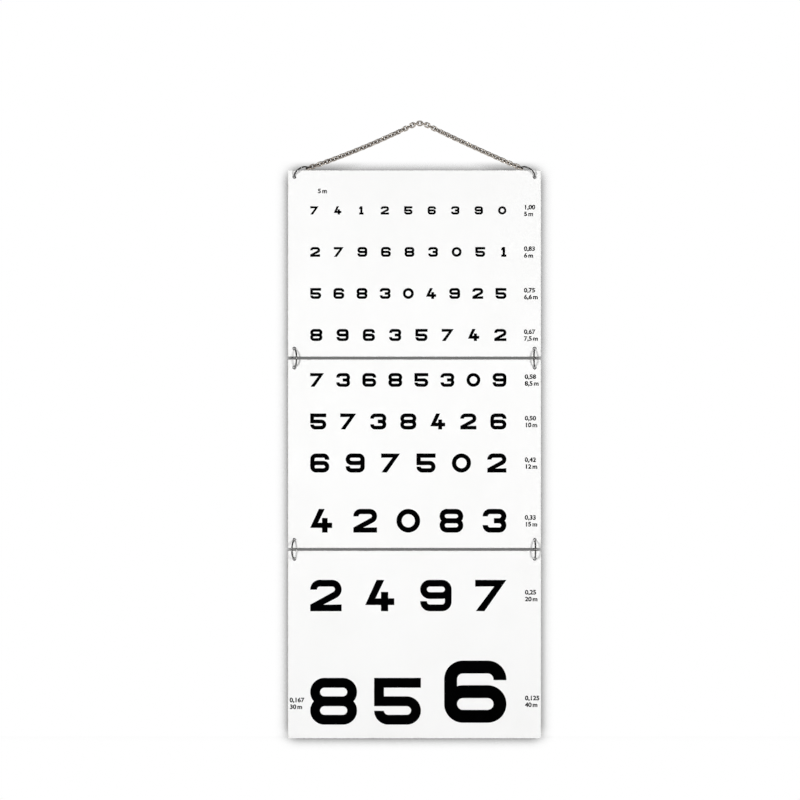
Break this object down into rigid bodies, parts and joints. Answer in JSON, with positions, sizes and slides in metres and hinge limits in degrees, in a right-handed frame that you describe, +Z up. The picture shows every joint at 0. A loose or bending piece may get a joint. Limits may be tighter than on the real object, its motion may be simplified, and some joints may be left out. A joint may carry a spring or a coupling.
{
  "type": "folding eye chart",
  "caption": "Folding wall chart for testing distance sight: stiff white panels printed with rows of number figures, joined by loose wire rings and hung on a fine link chain.",
  "frame": {"origin": "underside of the hang link, where the chain lies on its nail", "axes": "+Z up, the printed faces look along -Y, +X to the reader's right"},
  "size_m": [0.239, 0.021, 0.5835],
  "materials": {
    "panel_plastic": "white rigid plastic sheet, smooth with a soft sheen",
    "print_ink": "black screen-printing ink, matt",
    "ring_steel": "bent steel wire, nickel plated, slightly dull",
    "chain_steel": "fine steel chain, nickel plated and tarnished"
  },
  "bodies": {
    "chain": {"hang_link": "chain_steel", "left_chain": "chain_steel", "right_chain": "chain_steel"},
    "corner_rings": {"left_end_link": "chain_steel", "right_end_link": "chain_steel", "left_corner_ring": "ring_steel", "right_corner_ring": "ring_steel"},
    "top_panel": {"top_panel": "panel_plastic", "figures_5_m": "print_ink", "figures_6_m": "print_ink", "figures_6_7_m": "print_ink", "figures_7_5_m": "print_ink"},
    "middle_panel": {"middle_panel": "panel_plastic", "figures_8_6_m": "print_ink", "figures_10_m": "print_ink", "figures_12_m": "print_ink", "figures_15_m": "print_ink"},
    "bottom_panel": {"bottom_panel": "panel_plastic", "figures_20_m": "print_ink", "figures_30_m": "print_ink", "figures_40_m": "print_ink"},
    "upper_left_ring": {"upper_left_ring": "ring_steel"},
    "upper_right_ring": {"upper_right_ring": "ring_steel"},
    "lower_left_ring": {"lower_left_ring": "ring_steel"},
    "lower_right_ring": {"lower_right_ring": "ring_steel"}
  },
  "joints": [
    {"name": "chain_swing", "type": "hinge", "parent": "chain", "child": "corner_rings", "pos_m": [0, 0, -0.03861], "axis": [-1, 0, 0], "range_deg": [-5, 20]},
    {"name": "chart_tilt", "type": "hinge", "parent": "corner_rings", "child": "top_panel", "pos_m": [0, 0, -0.0479], "axis": [-1, 0, 0], "range_deg": [-10, 10]},
    {"name": "upper_fold", "type": "hinge", "parent": "top_panel", "child": "middle_panel", "pos_m": [0, 0.00115, -0.21898], "axis": [-1, 0, 0], "range_deg": [-175, 6]},
    {"name": "lower_fold", "type": "hinge", "parent": "middle_panel", "child": "bottom_panel", "pos_m": [0, -0.00115, -0.39972], "axis": [-1, 0, 0], "range_deg": [-5, 175]},
    {"name": "upper_left_ring_turn", "type": "hinge", "parent": "top_panel", "child": "upper_left_ring", "pos_m": [-0.1185, 0.00115, -0.21898], "axis": [0, 0, 1], "range_deg": [-29.7, 1.5]},
    {"name": "upper_right_ring_turn", "type": "hinge", "parent": "top_panel", "child": "upper_right_ring", "pos_m": [0.1085, 0.00115, -0.21898], "axis": [0, 0, 1], "range_deg": [-0.9, 12.2]},
    {"name": "lower_left_ring_turn", "type": "hinge", "parent": "middle_panel", "child": "lower_left_ring", "pos_m": [-0.1185, -0.00115, -0.39972], "axis": [0, 0, 1], "range_deg": [-1.2, 25.8]},
    {"name": "lower_right_ring_turn", "type": "hinge", "parent": "middle_panel", "child": "lower_right_ring", "pos_m": [0.1085, -0.00115, -0.39972], "axis": [0, 0, 1], "range_deg": [-6.3, 0.7]}
  ],
  "couplings": [
    {"joint": "upper_left_ring_turn", "follows": "upper_fold", "ratio": 0.16667},
    {"joint": "upper_right_ring_turn", "follows": "upper_fold", "ratio": -0.066667},
    {"joint": "lower_left_ring_turn", "follows": "lower_fold", "ratio": 0.14444},
    {"joint": "lower_right_ring_turn", "follows": "lower_fold", "ratio": -0.033333}
  ]
}
